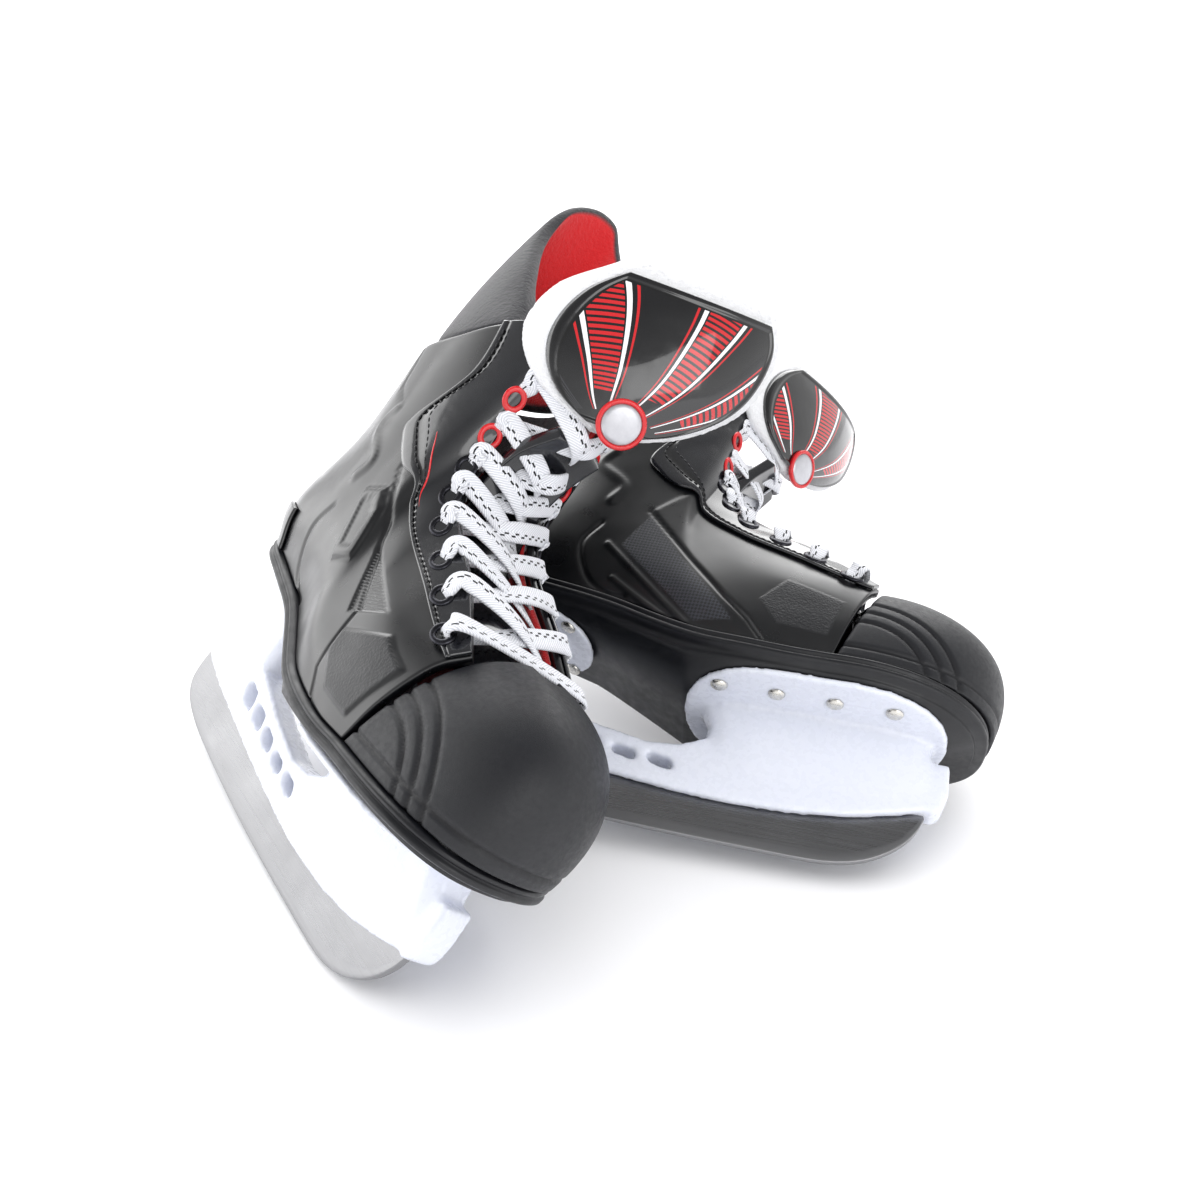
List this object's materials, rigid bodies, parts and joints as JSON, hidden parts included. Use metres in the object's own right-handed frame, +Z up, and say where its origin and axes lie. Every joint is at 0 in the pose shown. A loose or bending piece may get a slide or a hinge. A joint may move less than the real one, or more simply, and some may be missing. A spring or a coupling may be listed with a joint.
{
  "type": "ice skates",
  "caption": "Pair of hockey-style ice skates: laced moulded boots with toe caps and tongues on two-tower holders with steel runners.",
  "frame": {"origin": "middle of the pair's footprint, on the floor they rest on", "axes": "+Z up from the floor; +Y away from the viewer of the pair; +X to the viewer's right, towards the toe of the left skate"},
  "size_m": [0.3966, 0.4256, 0.2488],
  "materials": {
    "steel": "satin ground steel",
    "holder_white": "glossy white moulding",
    "sole_black": "moulded, low sheen",
    "cap_black": "fine grained, matt",
    "moulded_black": "glossy moulded upper",
    "patent_black": "patent, high gloss",
    "counter_black": "glossy, fine ribbed",
    "lining_red": "brushed felt",
    "footbed": "felt",
    "guard_red": "felt, dark edge",
    "tongue_felt": "thick white felt",
    "tongue_patent": "patent with printed stripes",
    "lace_white": "flat woven with black ticks",
    "nickel": "nickel-plated rivet"
  },
  "bodies": {
    "left_skate": {"left_blade": "steel", "left_holder": "holder_white", "left_outsole": "sole_black", "left_toe_cap": "cap_black", "left_quarter_lateral": "moulded_black", "left_quarter_medial": "moulded_black", "left_facing_lateral": "patent_black", "left_facing_medial": "patent_black", "left_heel_counter": "counter_black", "left_liner": "lining_red", "left_insole": "footbed", "left_tongue_base": "tongue_felt", "left_lace": "lace_white", "left_front_rivet_a1": "nickel", "left_front_rivet_a2": "nickel", "left_front_rivet_a3": "nickel", "left_front_rivet_a4": "nickel", "left_front_rivet_b1": "nickel", "left_front_rivet_b2": "nickel", "left_front_rivet_b3": "nickel", "left_front_rivet_b4": "nickel", "left_rear_rivet_a1": "nickel", "left_rear_rivet_a2": "nickel", "left_rear_rivet_a3": "nickel", "left_rear_rivet_b1": "nickel", "left_rear_rivet_b2": "nickel", "left_rear_rivet_b3": "nickel"},
    "left_tongue": {"left_tongue_pad": "tongue_felt", "left_tongue_face": "tongue_patent"},
    "left_guard": {"left_tendon_guard": "guard_red"},
    "right_skate": {"right_blade": "steel", "right_holder": "holder_white", "right_outsole": "sole_black", "right_toe_cap": "cap_black", "right_quarter_lateral": "moulded_black", "right_quarter_medial": "moulded_black", "right_facing_lateral": "patent_black", "right_facing_medial": "patent_black", "right_heel_counter": "counter_black", "right_liner": "lining_red", "right_insole": "footbed", "right_tongue_base": "tongue_felt", "right_lace": "lace_white", "right_front_rivet_a1": "nickel", "right_front_rivet_a2": "nickel", "right_front_rivet_a3": "nickel", "right_front_rivet_a4": "nickel", "right_front_rivet_b1": "nickel", "right_front_rivet_b2": "nickel", "right_front_rivet_b3": "nickel", "right_front_rivet_b4": "nickel", "right_rear_rivet_a1": "nickel", "right_rear_rivet_a2": "nickel", "right_rear_rivet_a3": "nickel", "right_rear_rivet_b1": "nickel", "right_rear_rivet_b2": "nickel", "right_rear_rivet_b3": "nickel"},
    "right_tongue": {"right_tongue_pad": "tongue_felt", "right_tongue_face": "tongue_patent"},
    "right_guard": {"right_tendon_guard": "guard_red"}
  },
  "joints": [
    {"name": "right_skate_lift", "type": "slide", "parent": "left_skate", "child": "right_skate", "axis": [0, 0, 1], "range_m": [0, 0.3]},
    {"name": "right_tongue_flop", "type": "hinge", "parent": "right_skate", "child": "right_tongue", "pos_m": [0.0076, -0.05933, 0.17295], "axis": [0.6298, 0.4209, -0.6528], "range_deg": [0, 30], "stiffness_Nm_per_rad": 4},
    {"name": "right_guard_flex", "type": "hinge", "parent": "right_skate", "child": "right_guard", "pos_m": [-0.06301, 0.04447, 0.17174], "axis": [0.6298, 0.4209, -0.6528], "range_deg": [-25, 1], "stiffness_Nm_per_rad": 4},
    {"name": "left_tongue_flop", "type": "hinge", "parent": "left_skate", "child": "left_tongue", "pos_m": [0.11237, 0.08402, 0.11303], "axis": [0.0752, 0.447, -0.8914], "range_deg": [0, 30], "stiffness_Nm_per_rad": 4},
    {"name": "left_guard_flex", "type": "hinge", "parent": "left_skate", "child": "left_guard", "pos_m": [-0.01037, 0.11026, 0.11584], "axis": [0.0752, 0.447, -0.8914], "range_deg": [-25, 1], "stiffness_Nm_per_rad": 4}
  ]
}
